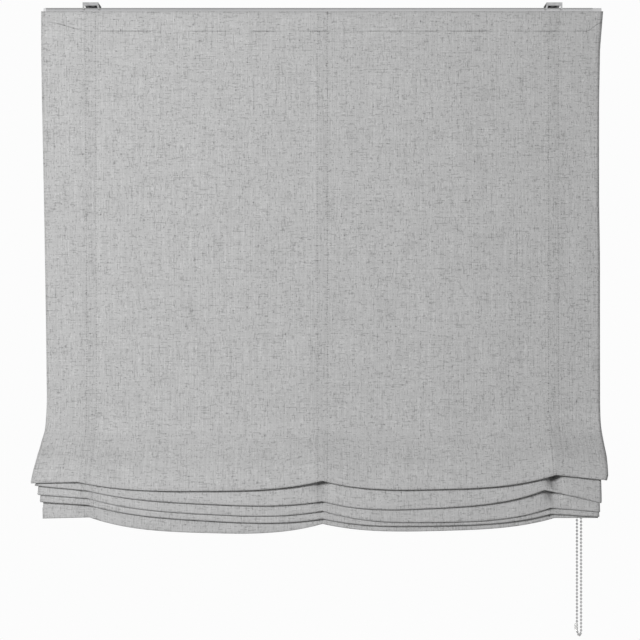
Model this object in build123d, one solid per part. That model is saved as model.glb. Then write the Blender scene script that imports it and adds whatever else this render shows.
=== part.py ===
"""Roman blind with a ball-chain control, partly raised, in millimetres.

Frame: +Z up, the face of the cloth looks along -Y, the wall is the plane Y = 0.
The origin is midway between the wall screw holes of the two brackets.
"""
from build123d import *
from math import cos, hypot, pi, radians, sin, sqrt
import os

# Overall sizes
cloth_width = 960.0
cloth_thickness = 0.8
cloth_top_below_rail = 6.0
rail_shorter_than_cloth = 6.5
bracket_from_edge = 84.0
tape_from_edge = 84.0

# Headrail: an open aluminium extrusion with clip lips along its top
rail_height = 40.0
rail_depth = 28.0
rail_wall = 1.3
rail_lip_out = 2.0
rail_lip_in = 4.0
rail_behind_gap = 7.0
rail_corner_radius = 1.0
left_cap_flange = 4.5
drive_end_length = 16.0
chain_notch_width = 15.0

# Left end cap
cap_corner_radius = 1.5
cap_plug_length = 12.0
cap_boss_length = 10.0
cap_web_length = 8.0
cap_web_thickness = 2.0
shaft_end_gap = 1.5

# Hook-and-loop strips that hold the cloth on the rail
strip_thickness = 1.6
strip_height = 20.0
strip_top_inset = 1.0

# Wall and ceiling brackets, pressed from steel strip
bracket_steel = 1.5
bracket_width = 27.0
bracket_top_above_rail = 9.4
bracket_leg_length = 32.0
bracket_front_lip = 5.6
bracket_screw_radius = 2.25
bracket_ceiling_hole_from_wall = 24.0
bracket_corner_radius = 1.6
hook_width = 3.0
hook_splay = 2.4
hook_steel = 1.3
hook_root = 1.5
hook_tip_clearance = 0.5
clip_clearance = 0.2

# Spring catch riveted under each bracket
catch_steel = 0.8
catch_width = 14.0
catch_length = 27.0
rivet_radius = 1.6
rivet_head_radius = 2.8
rivet_head = 0.9
rivet_from_wall = 14.0
rivet_hole_clearance = 0.05
catch_hole_clearance = 1.0

# Shaft, spools and their cradles
shaft_across_flats = 6.0
hex_clearance = 0.06
shaft_below_rail_top = 20.0
drum_radius = 7.5
drum_length = 35.0
spool_flange_radius = 11.0
spool_flange = 1.5
spool_collar = 1.0
spool_collar_rise = 1.4
flange_from_cord = 1.25
journal_radius = 5.5
running_clearance = 0.1
end_float = 0.25
cradle_wall = 3.0
cradle_floor = 2.0
cradle_lift = 0.1
cradle_key_length = 4.0
cradle_side_clearance = 0.2
cradle_wall_rise = 9.0
cord_guide_radius = 1.5
cord_guide_below = 0.8
cord_guide_above = 0.6
cord_hole_radius = 0.8

# Lift cords, rings and stops
cord_diameter = 0.9
cord_turns_wound = 17
cord_turn_pitch = 1.05
cord_slack = 0.1
ring_outer_radius = 6.0
ring_inner_radius = 4.2
ring_thickness = 2.0
ring_seat_gap = 0.3
stop_radius = 2.4
stop_length = 13.0
stop_bore_clearance = 0.05
stop_edge_radius = 0.8
cord_end_in_stop = 1.0

# Lift tapes sewn down the back of the cloth
tape_width = 20.0
tape_thickness = 0.6
tape_gap = 0.1
tape_below_rail = 2.0
tape_above_bulge = 3.0

# Drive unit
chain_pitch = 6.0
bead_diameter = 4.5
wheel_pockets = 10
wheel_width = 9.0
pocket_clearance = 0.3
pocket_chamfer_share = 0.6
link_groove_width = 2.0
wheel_rim = 1.4
chain_from_right_end = 36.2
chain_drop_pitches = 174
chain_twist = 20.5
twist_share = 0.45
housing_wall = 1.8
housing_overhang = 0.4
housing_corner_radius = 2.0
housing_roof_gap = 0.2
cover_thickness = 2.0
cover_rim_clearance = 0.2
cover_rim_wall = 1.5
cover_rim_length = 4.0
post_radius = 5.5
post_wheel_gap = 1.0
spring_wire = 1.0
spring_fit = 0.05
spring_end_gap = 1.0
spring_coils = 6
spring_coil_gap = 0.4
spring_skirt_gap = 0.5
skirt_wall = 1.7
skirt_end_gap = 1.0
core_length = 12.0
core_radius = 8.5
core_spigot_radius = 5.1
chassis_thickness = 1.9
connector_radius = 3.1
connector_edge_radius = 1.2
cut_past = 10.0

# Rows of rings on the flat part of the cloth, above the gathered ones
ring_row_spacing = 195.0
lowest_row_above_stack = 60.0
rows_above_stack = 3

# Stack of folds: heights are below the highest gathered ring
stack_below_rail = 739.0
bulge_above_stack = 42.0
crest_step_down = 9.0
crest_radius = 1.4
crest_sag = 12.0
fold_radius = 3.0
fold_flat = 0.4
shoulder_share = 0.3
shoulder_lean = 0.55
edge_droop = 5.0
# Each fold: forward reach from the sheet's plane, then how far its lowest edge hangs below the ring
# at the left end, left tape, middle tape, right tape and right end, and its sag in the two bays
folds = [
    (51.5, (67, 65, 63, 53, 60), (16, 19)),
    (43.5, (72, 80, 98, 82, 98), (15, 23)),
    (35.5, (90, 95, 116, 111, 115), (18, 24)),
    (28.0, (104, 107, 130, 122, 126), (16, 18)),
]
hem_reach = 20.0
hem_hang = (130, 129, 141, 129, 129)
hem_sag = (22, 18)
crest_forward = 1.4
crest_back_steps = (0.0, 0.8, 1.6, 2.4)
bulge_curve = ((0.22, 0.1), (0.45, 0.42), (0.7, 0.82))
bay_fractions = (0.07, 0.18, 0.34, 0.5, 0.66, 0.82, 0.93)

edge_forward = 4.0
bay_forward = 3.0

# Places worked out from the sizes above
rail_overall_length = cloth_width - rail_shorter_than_cloth
bracket_spacing = cloth_width - 2 * bracket_from_edge
tape_spacing = cloth_width / 2 - tape_from_edge
bracket_top_z = 20.0
rail_top_z = bracket_top_z - bracket_top_above_rail
rail_bottom_z = rail_top_z - rail_height
rail_back_y = -rail_behind_gap
rail_front_y = rail_back_y - rail_depth
rail_mid_y = (rail_back_y + rail_front_y) / 2
rail_left_x = -rail_overall_length / 2 + left_cap_flange
rail_right_x = rail_overall_length / 2 - drive_end_length
shaft_z = rail_top_z - shaft_below_rail_top
lip_front_y = rail_front_y - rail_lip_out
lip_back_y = rail_back_y + rail_lip_out
cloth_back_y = rail_front_y - 2 * strip_thickness
cloth_mid_y = cloth_back_y - cloth_thickness / 2
cloth_top_z = rail_top_z - cloth_top_below_rail
cord_radius = cord_diameter / 2
cord_wound_radius = drum_radius + cord_slack + cord_radius
cord_y = rail_mid_y - cord_wound_radius
stack_z = rail_top_z - stack_below_rail
wheel_pitch_radius = chain_pitch / 2 / sin(pi / wheel_pockets)
chain_x = rail_overall_length / 2 - chain_from_right_end
lip_top_z = rail_bottom_z + rail_wall
section_z = (rail_top_z + rail_bottom_z) / 2
tape_xs = (-tape_spacing, 0.0, tape_spacing)
sides = ("left", "centre", "right")
spool_ways = (1, 1, -1)

os.makedirs("parts", exist_ok=True)


def save(name, shape):
    """Write one sub-part to its own STEP file."""
    shape.label = name
    export_step(shape, f"parts/{name}.step")


def along_x(sketch, x_start, x_end):
    """Extrude a sketch of the YZ section between two places along the blind."""
    plane = Plane(origin=(x_start, 0, 0), x_dir=(0, 1, 0), z_dir=(1, 0, 0))
    return extrude(plane * sketch, amount=x_end - x_start)


def block(x_range, y_range, z_range):
    """A plain box between three pairs of limits."""
    size = [abs(pair[1] - pair[0]) for pair in (x_range, y_range, z_range)]
    middle = [(pair[0] + pair[1]) / 2 for pair in (x_range, y_range, z_range)]
    return Pos(*middle) * Box(*size)


def rod_x(radius, x_start, x_end):
    """A round bar on the shaft's axis."""
    return along_x(Pos(rail_mid_y, shaft_z) * Circle(radius), x_start, x_end)


def hex_bar(across_flats, x_start, x_end):
    """A hexagonal bar on the shaft's axis."""
    hexagon = RegularPolygon(across_flats / 2, 6, major_radius=False)
    return along_x(Pos(rail_mid_y, shaft_z) * hexagon, x_start, x_end)


def rod_z(radius, x, y, z_low, z_high):
    """An upright round bar."""
    return Pos(x, y, (z_low + z_high) / 2) * Cylinder(radius, z_high - z_low)


def rail_section():
    """The extrusion's section: a box open below, with clip lips at its top edges."""
    outer = Pos(rail_mid_y, section_z) * Rectangle(rail_depth, rail_height)
    outer = fillet(outer.vertices().group_by(Axis.Y)[0], rail_corner_radius)
    inside = Rectangle(rail_depth - 2 * rail_wall, rail_height - 2 * rail_wall)
    hollow = Pos(rail_mid_y, section_z) * inside
    slot_width = rail_depth - 2 * rail_wall - 2 * (rail_lip_in - rail_wall)
    slot = Pos(rail_mid_y, rail_bottom_z) * Rectangle(slot_width, 3 * rail_wall)
    lips = Pos(rail_mid_y, rail_top_z - rail_wall / 2) * Rectangle(rail_depth + 2 * rail_lip_out, rail_wall)
    return outer + lips - hollow - slot


def headrail():
    """The rail cut to length, with its lower lips notched where the chain comes out."""
    rail = along_x(rail_section(), rail_left_x, rail_right_x)
    notch_x = (chain_x - chain_notch_width / 2, chain_x + chain_notch_width / 2)
    inner = (rail_front_y + rail_wall, rail_back_y - rail_wall)
    return rail - block(notch_x, inner, (rail_bottom_z - rail_wall, lip_top_z + rail_wall / 2))


def hook_strip():
    """The hook strip stuck along the front of the rail."""
    top = cloth_top_z - strip_top_inset
    y_range = (rail_front_y - strip_thickness, rail_front_y)
    return block((rail_left_x, rail_right_x), y_range, (top - strip_height, top))


def loop_strip():
    """The loop strip sewn behind the top of the cloth."""
    top = cloth_top_z - strip_top_inset
    y_range = (cloth_back_y, cloth_back_y + strip_thickness)
    return block((rail_left_x, rail_right_x), y_range, (top - strip_height, top))


def end_cap_left():
    """The thin left cap: a flange, a plug inside the rail and a bearing for the shaft's end."""
    flange_size = Rectangle(rail_depth + 2 * housing_overhang, rail_height + 2 * housing_overhang)
    flange_sketch = Pos(rail_mid_y, section_z) * flange_size
    flange_sketch = fillet(flange_sketch.vertices(), cap_corner_radius)
    flange = along_x(flange_sketch, rail_left_x - left_cap_flange, rail_left_x)
    plug_depth = rail_depth - 2 * rail_wall - 2 * cradle_side_clearance
    plug_height = rail_height - 2 * rail_wall - 2 * cradle_side_clearance
    plug_middle = Pos(rail_mid_y, section_z)
    ring = plug_middle * Rectangle(plug_depth, plug_height)
    ring -= plug_middle * Rectangle(plug_depth - 2 * housing_wall, plug_height - 2 * housing_wall)
    plug = along_x(ring, rail_left_x, rail_left_x + cap_plug_length)
    boss = rod_x(journal_radius, rail_left_x, rail_left_x + cap_boss_length)
    bore_radius = shaft_across_flats / sqrt(3) + running_clearance
    bore = rod_x(bore_radius, rail_left_x, rail_left_x + cap_boss_length + cut_past)
    web_half = plug_depth / 2 - housing_wall / 2
    web_z = (shaft_z - cap_web_thickness / 2, shaft_z + cap_web_thickness / 2)
    web = block((rail_left_x, rail_left_x + cap_web_length), (rail_mid_y - web_half, rail_mid_y + web_half), web_z)
    return flange + plug + boss + web - bore


def bracket(x, inner_side):
    """One steel bracket: wall leg, top plate, turned-down front lip and two hooks for the rail's lip."""
    x_range = (x - bracket_width / 2, x + bracket_width / 2)
    front_y = lip_front_y - clip_clearance - bracket_steel
    top = block(x_range, (front_y, 0), (bracket_top_z - bracket_steel, bracket_top_z))
    leg = block(x_range, (-bracket_steel, 0), (bracket_top_z - bracket_leg_length, bracket_top_z))
    lip = block(x_range, (front_y, front_y + bracket_steel), (bracket_top_z - bracket_front_lip, bracket_top_z))
    corners = lip.edges().filter_by(Axis.Y)
    lip = fillet(corners, bracket_corner_radius)
    body = top + leg + lip
    for side in (-1, 1):
        body += bracket_hook(x, side, hook_splay if side == inner_side else 0.0)
    body -= Pos(x, 0, 0) * Rot(90, 0, 0) * Cylinder(bracket_screw_radius, 4 * bracket_steel)
    through_top = (bracket_top_z - bracket_steel - cut_past / 2, bracket_top_z + cut_past)
    body -= rod_z(bracket_screw_radius, x, -bracket_ceiling_hole_from_wall, *through_top)
    return body - rod_z(rivet_radius + rivet_hole_clearance, x, -rivet_from_wall, *through_top)


def bracket_hook(x, side, splay):
    """One hook: a tab down from the front lip that turns in under the rail's lip."""
    outer_x = x + side * bracket_width / 2
    front_y = lip_front_y - clip_clearance - hook_steel
    under_z = rail_top_z - rail_wall - clip_clearance
    start_z = bracket_top_z - bracket_front_lip
    section = Polyline(
        (outer_x, start_z + hook_root),
        (outer_x - side * hook_width, start_z + hook_root),
        (outer_x + side * (splay - hook_width), under_z - hook_steel),
        (outer_x + side * splay, under_z - hook_steel),
        close=True,
    )
    tab_plane = Plane(origin=(0, front_y, 0), x_dir=(1, 0, 0), z_dir=(0, -1, 0))
    tab = extrude(tab_plane * make_face(section), amount=-hook_steel)
    tip_x = (outer_x + side * (splay - hook_width), outer_x + side * splay)
    tip_y = (front_y, rail_front_y - hook_tip_clearance)
    return tab + block((min(tip_x), max(tip_x)), tip_y, (under_z - hook_steel, under_z))


def spring_catch(x):
    """The spring leaf under the bracket, hooked behind and under the rail's rear lip."""
    leaf_top = bracket_top_z - bracket_steel
    drop_y = lip_back_y + clip_clearance
    under_z = rail_top_z - rail_wall - clip_clearance
    x_range = (x - catch_width / 2, x + catch_width / 2)
    leaf = block(x_range, (drop_y - catch_length, drop_y + catch_steel), (leaf_top - catch_steel, leaf_top))
    drop = block(x_range, (drop_y, drop_y + catch_steel), (under_z - catch_steel, leaf_top))
    barb_y = (rail_back_y + hook_tip_clearance, drop_y + catch_steel)
    barb = block(x_range, barb_y, (under_z - catch_steel, under_z))
    catch = leaf + drop + barb
    through_leaf = (leaf_top - catch_steel - cut_past / 2, leaf_top + cut_past)
    catch -= rod_z(rivet_radius + rivet_hole_clearance, x, -rivet_from_wall, *through_leaf)
    hole_radius = bracket_screw_radius + catch_hole_clearance
    return catch - rod_z(hole_radius, x, -bracket_ceiling_hole_from_wall, *through_leaf)


def rivet(x):
    """The rivet that joins the catch to its bracket, with a head above and below."""
    low = bracket_top_z - bracket_steel - catch_steel
    shank = rod_z(rivet_radius, x, -rivet_from_wall, low - rivet_head, bracket_top_z + rivet_head)
    lower = rod_z(rivet_head_radius, x, -rivet_from_wall, low - rivet_head, low)
    upper = rod_z(rivet_head_radius, x, -rivet_from_wall, bracket_top_z, bracket_top_z + rivet_head)
    return shank + lower + upper


def shaft():
    """The hexagonal shaft that runs the length of the rail."""
    return hex_bar(shaft_across_flats, rail_left_x + shaft_end_gap, chain_x + wheel_width / 2)


def spool_span(x, way):
    """Where a spool's flange starts and its collar ends. It runs away from the blind's nearer end."""
    start = x - way * (flange_from_cord + spool_flange)
    return start, start + way * (spool_flange + drum_length + spool_collar)


def spool(x, way):
    """A cord spool: journals, a flange beside the cord, the drum and an end collar."""
    start, end = spool_span(x, way)
    body = rod_x(journal_radius, start - way * cradle_wall, end + way * cradle_wall)
    body += rod_x(spool_flange_radius, start, start + way * spool_flange)
    body += rod_x(drum_radius, start, end)
    body += rod_x(drum_radius + spool_collar_rise, end - way * spool_collar, end)
    return body - hex_bar(shaft_across_flats + 2 * hex_clearance, start - way * drum_length, end + way * drum_length)


def spool_cradle(x, way):
    """The moulded cradle in the rail that carries one spool and guides its cord out."""
    start, end = sorted(spool_span(x, way))
    start -= end_float
    end += end_float
    half = rail_depth / 2 - rail_wall - cradle_side_clearance
    y_range = (rail_mid_y - half, rail_mid_y + half)
    floor_z = (lip_top_z + cradle_lift, lip_top_z + cradle_lift + cradle_floor)
    body = block((start - cradle_wall, end + cradle_wall), y_range, floor_z)
    for wall_x in ((start - cradle_wall, start), (end, end + cradle_wall)):
        body += block(wall_x, y_range, (floor_z[0], shaft_z + cradle_wall_rise))
    key_half = rail_depth / 2 - rail_lip_in - cradle_side_clearance
    key = (rail_mid_y - key_half, rail_mid_y + key_half)
    for key_x in ((start - cradle_wall, start + cradle_key_length), (end - cradle_key_length, end + cradle_wall)):
        body += block(key_x, key, (rail_bottom_z, floor_z[0]))
    guide_z = (rail_bottom_z - cord_guide_below, floor_z[1] + cord_guide_above)
    body += rod_z(cord_guide_radius, x, cord_y, *guide_z)
    body -= rod_z(cord_hole_radius, x, cord_y, guide_z[0] - cut_past / 4, guide_z[1] + cut_past / 4)
    return body - rod_x(journal_radius + running_clearance, start - cut_past, end + cut_past)


def lift_cord(x, way):
    """A lift cord: the turns on its spool as a sleeve, and the straight run to its stop."""
    wound = cord_turns_wound * cord_turn_pitch
    start = x - way * cord_diameter
    turns = rod_x(cord_wound_radius + cord_radius + cord_slack / 2, start, start + way * wound)
    turns -= rod_x(drum_radius + cord_slack / 2, start - way * wound, start + 2 * way * wound)
    return turns + rod_z(cord_radius, x, cord_y, stop_bottom_z() + cord_end_in_stop, shaft_z)


def stack_ring_z(level):
    """Height of the middle of one gathered ring, from the highest down."""
    return stack_z - level * crest_step_down - crest_radius


def stop_top_z():
    """Top of the cord stops, just under the lowest ring."""
    return stack_ring_z(len(folds) - 1) - ring_thickness / 2 - ring_seat_gap


def stop_bottom_z():
    """Bottom of the cord stops."""
    return stop_top_z() - stop_length


def cord_stop(x):
    """The cord stop under the lowest ring, a small barrel with rounded ends."""
    barrel = rod_z(stop_radius, x, cord_y, stop_bottom_z(), stop_top_z())
    barrel = fillet(barrel.edges().filter_by(GeomType.CIRCLE), stop_edge_radius)
    bore_z = (stop_bottom_z() - cut_past, stop_top_z() + cut_past)
    return barrel - rod_z(cord_radius + stop_bore_clearance, x, cord_y, *bore_z)


def ring(x, y, z):
    """One sewn plastic ring, lying level round the cord."""
    band = rod_z(ring_outer_radius, x, y, z - ring_thickness / 2, z + ring_thickness / 2)
    return band - rod_z(ring_inner_radius, x, y, z - ring_thickness, z + ring_thickness)


def ring_row(row):
    """The three rings of one row above the stack. Row 1 is the highest."""
    behind_tape = cloth_back_y + tape_gap + tape_thickness
    y = behind_tape + ring_seat_gap + ring_outer_radius
    rings = [ring(x, y, ring_row_z(row)) for x in tape_xs]
    return Compound(children=rings)


def ring_row_z(row):
    """Height of a ring row on the flat part of the cloth."""
    return stack_z + lowest_row_above_stack + (rows_above_stack - row) * ring_row_spacing


def ring_stack(x):
    """The rings gathered on one cord, one behind each crest of the folds."""
    rings = []
    for level, back in enumerate(crest_back_steps):
        seat = crest_y(back) + crest_radius + cloth_thickness / 2 + ring_seat_gap
        rings.append(ring(x, seat + ring_outer_radius, stack_ring_z(level)))
    return Compound(children=rings)


def crest_y(back):
    """Middle of a crest where the rings hold it."""
    return cloth_mid_y - crest_forward + back


def lift_tape(x):
    """The tape sewn down the back of the cloth, from under the rail to the stack."""
    y_range = (cloth_back_y + tape_gap, cloth_back_y + tape_gap + tape_thickness)
    z_range = (stack_z + bulge_above_stack + tape_above_bulge, rail_bottom_z - tape_below_rail)
    return block((x - tape_width / 2, x + tape_width / 2), y_range, z_range)


def along_blind(x, values, sags):
    """A value that follows the ends and tapes, with a full round sag in each bay."""
    places = (-cloth_width / 2, -tape_spacing, 0.0, tape_spacing, cloth_width / 2)
    bay_sags = (0.0, sags[0], sags[1], 0.0)
    for index in range(4):
        if x <= places[index + 1]:
            share = (x - places[index]) / (places[index + 1] - places[index])
            straight = values[index] + share * (values[index + 1] - values[index])
            return straight + bay_sags[index] * (1 - abs(2 * share - 1) ** 3)
    return values[-1]


def fold_path(x):
    """The cloth's middle line in section: down the sheet, round each fold, over each crest."""
    sag = along_blind(x, (edge_droop, 0, 0, 0, edge_droop), (crest_sag, crest_sag))
    forward = along_blind(x, (edge_forward, 0, 0, 0, edge_forward), (bay_forward, bay_forward))
    first_reach, first_hang, first_sags = folds[0]
    first_low = stack_z - along_blind(x, first_hang, first_sags)
    first_front = cloth_mid_y - first_reach - fold_radius
    bulge_top = stack_z + bulge_above_stack
    path = [(cloth_mid_y, cloth_top_z), (cloth_mid_y, bulge_top)]
    for share, lean in bulge_curve:
        z = bulge_top + share * (first_low - bulge_top)
        path.append((cloth_mid_y + lean * (first_front - cloth_mid_y), z))
    for level, (reach, hang, sags) in enumerate(folds):
        low = stack_z - along_blind(x, hang, sags)
        y = cloth_mid_y - reach
        turn = [(y - fold_radius, low + fold_radius), (y - fold_flat * fold_radius, low)]
        turn += [(y + fold_flat * fold_radius, low), (y + fold_radius, low + fold_radius)]
        crest = crest_y(crest_back_steps[level]) - forward
        top = stack_z - level * crest_step_down - sag
        over = [(crest - crest_radius, top - crest_radius), (crest, top), (crest + crest_radius, top - crest_radius)]
        if level:
            path.append(shoulder(path[-1], turn[0]))
        path += turn + [shoulder(over[0], turn[-1])] + over
    hem = (cloth_mid_y - hem_reach, stack_z - along_blind(x, hem_hang, hem_sag))
    path += [shoulder(path[-1], hem), hem]
    return path


def shoulder(crest_side, fold_side):
    """Where a layer bends from leaning out of its crest to hanging down to its fold."""
    y = crest_side[0] + shoulder_lean * (fold_side[0] - crest_side[0])
    z = crest_side[1] + shoulder_share * (fold_side[1] - crest_side[1])
    return (y, z)


def thick_outline(path, x):
    """A closed outline of even thickness round the section's middle line."""
    near, far = [], []
    for index, (y, z) in enumerate(path):
        before = path[max(index - 1, 0)]
        after = path[min(index + 1, len(path) - 1)]
        in_y, in_z = unit(before, (y, z)) if index else unit((y, z), after)
        out_y, out_z = unit((y, z), after) if index < len(path) - 1 else (in_y, in_z)
        side_y, side_z = -(in_z + out_z), in_y + out_y
        length = hypot(side_y, side_z)
        stretch = cloth_thickness / 2 / max(length / 2, 0.5) / length
        near.append(Vector(x, y + side_y * stretch, z + side_z * stretch))
        far.append(Vector(x, y - side_y * stretch, z - side_z * stretch))
    return Wire.make_polygon(near + far[::-1], close=True)


def unit(start, end):
    """Unit vector from one section point to the next."""
    step_y, step_z = end[0] - start[0], end[1] - start[1]
    length = hypot(step_y, step_z)
    return step_y / length, step_z / length


def cloth_stations():
    """Places along the blind where the section of the cloth is drawn."""
    ends = cloth_width / 2
    places = [-ends, -(ends + tape_spacing) / 2]
    for start in (-tape_spacing, 0.0):
        places.append(start)
        places += [start + fraction * tape_spacing for fraction in bay_fractions]
    return places + [tape_spacing, (ends + tape_spacing) / 2, ends]


def blind_cloth():
    """The whole cloth, one folded sheet lofted through its sections."""
    outlines = [thick_outline(fold_path(x), x) for x in cloth_stations()]
    return Solid.make_loft(outlines, ruled=True)


def drive_housing():
    """The drive unit's moulding: the end block, the fixed post, and a bridge to its inner bearing."""
    section = Pos(rail_mid_y, section_z)
    outer = section * Rectangle(rail_depth + 2 * housing_overhang, rail_height + 2 * housing_overhang)
    outer = fillet(outer.vertices(), housing_corner_radius)
    block_end = rail_right_x + drive_end_length - cover_thickness
    end_block = along_x(outer, rail_right_x, block_end)
    room = section * Rectangle(rail_depth - 2 * housing_wall, rail_height - 2 * housing_wall)
    end_block -= along_x(room, rail_right_x + housing_wall, block_end)
    post = rod_x(post_radius, chain_x + wheel_width / 2 + post_wheel_gap, rail_right_x + housing_wall)
    half = rail_depth / 2 - rail_wall - cradle_side_clearance
    y_range = (rail_mid_y - half, rail_mid_y + half)
    roof_top = rail_top_z - rail_wall - housing_roof_gap
    roof_z = (roof_top - chassis_thickness, roof_top)
    inner_x = chain_x - wheel_width / 2 - core_length
    bridge = block((inner_x - chassis_thickness, rail_right_x), y_range, roof_z)
    wall = block((inner_x - chassis_thickness, inner_x), y_range, (lip_top_z + cradle_lift, roof_top))
    wall -= rod_x(journal_radius + running_clearance, inner_x - cut_past, inner_x + end_float)
    return end_block + post + bridge + wall


def drive_cover():
    """The cover that closes the drive unit's end block."""
    section = Pos(rail_mid_y, section_z)
    outer = section * Rectangle(rail_depth + 2 * housing_overhang, rail_height + 2 * housing_overhang)
    outer = fillet(outer.vertices(), housing_corner_radius)
    end = rail_right_x + drive_end_length
    plate = along_x(outer, end - cover_thickness, end)
    depth = rail_depth - 2 * housing_wall - 2 * cover_rim_clearance
    height = rail_height - 2 * housing_wall - 2 * cover_rim_clearance
    rim = section * Rectangle(depth, height)
    rim -= section * Rectangle(depth - 2 * cover_rim_wall, height - 2 * cover_rim_wall)
    return plate + along_x(rim, end - cover_thickness - cover_rim_length, end - cover_thickness)


def chain_wheel():
    """The ball-chain wheel: pockets for the beads, a groove for the links and a skirt over the spring."""
    low, high = chain_x - wheel_width / 2, chain_x + wheel_width / 2
    rim_radius = wheel_pitch_radius + wheel_rim
    skirt_radius = post_radius + spring_wire + spring_skirt_gap + skirt_wall
    wheel = rod_x(rim_radius, low, high)
    wheel += rod_x(skirt_radius, high, rail_right_x - skirt_end_gap)
    wheel -= rod_x(skirt_radius - skirt_wall, high, rail_right_x)
    wheel -= rod_x(core_spigot_radius + running_clearance, low - cut_past, high + cut_past / 2)
    groove_floor = wheel_pitch_radius - link_groove_width / 2
    half_groove = link_groove_width / 2
    groove = rod_x(2 * rim_radius, chain_x - half_groove, chain_x + half_groove)
    wheel -= groove - rod_x(groove_floor, chain_x - half_groove, chain_x + half_groove)
    pocket_radius = bead_diameter / 2 + pocket_clearance
    pocket = Pos(0, 0, pocket_radius) * Box(2 * pocket_radius, 2 * pocket_radius, 4 * pocket_radius)
    pocket = chamfer(pocket.faces().sort_by(Axis.Z)[0].edges(), pocket_radius * pocket_chamfer_share)
    for index in range(wheel_pockets):
        turn = Pos(chain_x, rail_mid_y, shaft_z) * Rot(90 + 360 / wheel_pockets * index, 0, 0)
        wheel -= turn * Pos(0, 0, wheel_pitch_radius) * pocket
    return wheel


def drive_core():
    """The hub that takes the wheel's turn to the shaft, with its journal in the inner bearing."""
    low = chain_x - wheel_width / 2 - core_length
    high = chain_x - wheel_width / 2 - end_float
    body = rod_x(journal_radius, low - chassis_thickness, low + end_float)
    body += rod_x(core_radius, low + end_float, high)
    body += rod_x(core_spigot_radius, high, chain_x + wheel_width / 2)
    return body - hex_bar(shaft_across_flats + 2 * hex_clearance, low - cut_past, chain_x + wheel_width)


def brake_spring():
    """The wrap spring that grips the post, its coils parted by narrow grooves."""
    start = chain_x + wheel_width / 2 + post_wheel_gap + spring_end_gap
    end = rail_right_x - skirt_end_gap - spring_end_gap
    inner = post_radius + spring_fit
    outer = inner + spring_wire
    coil = rod_x(outer, start, end) - rod_x(inner, start - cut_past, end + cut_past)
    for gap in range(1, spring_coils):
        middle = start + (end - start) * gap / spring_coils
        gap_x = (middle - spring_coil_gap / 2, middle + spring_coil_gap / 2)
        coil -= rod_x(2 * outer, *gap_x) - rod_x(outer - spring_wire / 2, *gap_x)
    return coil


def bead():
    """One bead of the chain with its half links, as a six-sided spindle that meets its neighbours."""
    radius = bead_diameter / 2
    half = chain_pitch / 2
    rim = [Vector(radius * cos(pi / 3 * i), radius * sin(pi / 3 * i), 0) for i in range(6)]
    faces = []
    for tip in (Vector(0, 0, half), Vector(0, 0, -half)):
        for index in range(6):
            faces.append(Face(Wire.make_polygon([rim[index], rim[(index + 1) % 6], tip], close=True)))
    return Solid(Shell(faces))


def chain_places():
    """Places of the beads round the loop: over the wheel, down one strand, round the bottom and up."""
    places = []
    step = 360 / wheel_pockets
    for index in range(wheel_pockets // 2 + 1):
        places.append(chain_place(index * step, 0.0, 0.0))
    for index in range(1, chain_drop_pitches):
        places.append(chain_place(180.0, index * chain_pitch, strand_twist(index)))
    for index in range(wheel_pockets // 2 + 1):
        places.append(chain_place(180 + index * step, chain_drop_pitches * chain_pitch, chain_twist))
    for index in range(1, chain_drop_pitches):
        down = chain_drop_pitches - index
        places.append(chain_place(360.0, down * chain_pitch, strand_twist(down)))
    return places


def strand_twist(index):
    """How far the loop has turned about the vertical at one bead."""
    share = min(index / (twist_share * chain_drop_pitches), 1.0)
    return chain_twist * share * share * (3 - 2 * share)


def chain_place(angle, below, twist):
    """A bead's place: its angle round the loop's turn from the front, and its depth and twist."""
    y = -wheel_pitch_radius * cos(radians(angle))
    z = wheel_pitch_radius * sin(radians(angle))
    middle = Location((chain_x, rail_mid_y, shaft_z - below))
    return middle * Rot(0, 0, twist) * Pos(0, y, z) * Rot(-angle, 0, 0)


def bead_chain():
    """The endless chain, without the beads that the connector holds."""
    one = bead()
    held = connector_beads()
    return Compound(children=[place * one for index, place in enumerate(chain_places()) if index not in held])


def connector_beads():
    """The two beads inside the connector, low on the rear strand."""
    first = wheel_pockets // 2 + chain_drop_pitches - 1
    return (first, first + 1)


def chain_connector():
    """The clip that joins the chain's ends: a rounded barrel over two beads."""
    places = chain_places()
    first, second = (places[index].position for index in connector_beads())
    middle = (first + second) * 0.5
    length = 2 * chain_pitch
    barrel = Pos(middle.X, middle.Y, middle.Z) * Cylinder(connector_radius, length)
    return fillet(barrel.edges().filter_by(GeomType.CIRCLE), connector_edge_radius)


save("headrail", headrail())
save("hook_strip", hook_strip())
save("loop_strip", loop_strip())
save("end_cap_left", end_cap_left())
save("blind_cloth", blind_cloth())
save("bracket_left", bracket(-bracket_spacing / 2, 1))
save("bracket_right", bracket(bracket_spacing / 2, -1))
for side, x in (("left", -bracket_spacing / 2), ("right", bracket_spacing / 2)):
    save(f"spring_catch_{side}", spring_catch(x))
    save(f"bracket_rivet_{side}", rivet(x))
save("shaft", shaft())
for side, x, way in zip(sides, tape_xs, spool_ways):
    save(f"spool_{side}", spool(x, way))
    save(f"spool_cradle_{side}", spool_cradle(x, way))
    save(f"lift_cord_{side}", lift_cord(x, way))
    save(f"lift_tape_{side}", lift_tape(x))
    save(f"cord_stop_{side}", cord_stop(x))
    save(f"ring_stack_{side}", ring_stack(x))
for row in range(1, rows_above_stack + 1):
    save(f"ring_row_{row}", ring_row(row))
save("drive_housing", drive_housing())
save("drive_cover", drive_cover())
save("chain_wheel", chain_wheel())
save("drive_core", drive_core())
save("brake_spring", brake_spring())
save("bead_chain", bead_chain())
save("chain_connector", chain_connector())
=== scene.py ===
# %% [markdown]
# A roman blind, step by step. The blind is one sheet of linen-look cloth that hangs from an aluminium
# rail. Three cords draw it up into a stack of folds, and an endless ball chain at the right end turns
# the shaft that winds the cords. The packed model already holds every rigid piece at its true place,
# so this lesson keeps those, gives them finishes, and models the soft pieces again with more care.

# %% Load the packed model
import math

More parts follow.
